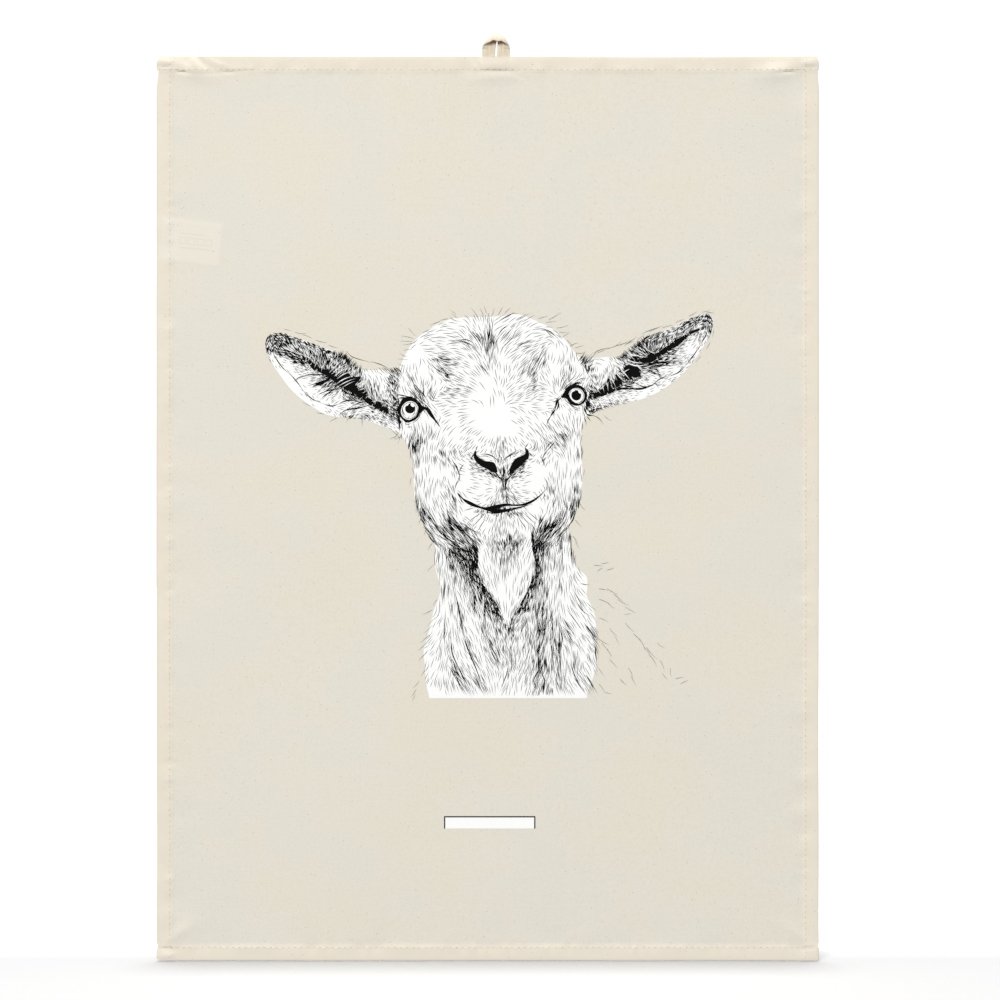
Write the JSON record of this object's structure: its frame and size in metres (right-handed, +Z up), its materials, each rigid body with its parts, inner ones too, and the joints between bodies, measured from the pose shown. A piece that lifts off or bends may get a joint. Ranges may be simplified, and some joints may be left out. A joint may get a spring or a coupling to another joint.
{
  "type": "tea towel",
  "caption": "Hemmed natural cotton tea towel with a printed goat's head, a hanging loop of tape, a sewn-in care label and a blank caption strip; it swings from its loop and folds in half.",
  "frame": {"origin": "the point where a hook carries the hanging loop: on the loop's middle line, in the plane of its two tape legs, under the bend", "axes": "+Z up along the hanging towel's height, +X to the right seen from the printed front, which faces -Y; +Y through the cloth to its back"},
  "size_m": [0.5, 0.0097, 0.6998],
  "materials": {
    "cotton_cloth": "unbleached plain weave with small brown seed specks",
    "sewing_thread": "matt two-ply cotton thread",
    "cotton_tape": "flat folded tape of the same cotton, warmer inside",
    "label_ribbon": "smooth white satin ribbon",
    "label_ink": "thin dark grey print",
    "white_ink": "thin matt white screen print that shows the weave",
    "black_ink": "thin matt black screen print in fine strokes"
  },
  "bodies": {
    "hanging_loop": {"hanging_loop": "cotton_tape"},
    "towel_upper": {"cloth_upper": "cotton_cloth", "hem_top": "cotton_cloth", "hem_left_upper": "cotton_cloth", "hem_right_upper": "cotton_cloth", "seam_top": "sewing_thread", "seam_left_upper": "sewing_thread", "seam_right_upper": "sewing_thread", "hanging_loop_tails": "cotton_tape", "loop_tacking": "sewing_thread", "care_label_margin": "label_ribbon", "print_base_upper": "white_ink", "print_lines_upper": "black_ink"},
    "towel_lower": {"cloth_lower": "cotton_cloth", "hem_bottom": "cotton_cloth", "hem_left_lower": "cotton_cloth", "hem_right_lower": "cotton_cloth", "seam_bottom": "sewing_thread", "seam_left_lower": "sewing_thread", "seam_right_lower": "sewing_thread", "print_base_lower": "white_ink", "print_lines_lower": "black_ink", "caption_panel": "white_ink", "caption_frame": "black_ink"},
    "care_label": {"care_label": "label_ribbon", "care_label_print": "label_ink"}
  },
  "joints": [
    {"name": "loop_swing", "type": "hinge", "parent": "hanging_loop", "child": "towel_upper", "pos_m": [0, -0.0005, -0.015], "axis": [1, 0, 0], "range_deg": [-90, 90]},
    {"name": "middle_fold", "type": "hinge", "parent": "towel_upper", "child": "towel_lower", "pos_m": [-0.0062, -0.0002, -0.3605], "axis": [1, 0, 0], "range_deg": [0, 178]},
    {"name": "label_flip", "type": "hinge", "parent": "towel_upper", "child": "care_label", "pos_m": [-0.2465, 0.00015, -0.1555], "axis": [0, 0, 1], "range_deg": [0, 175]}
  ]
}
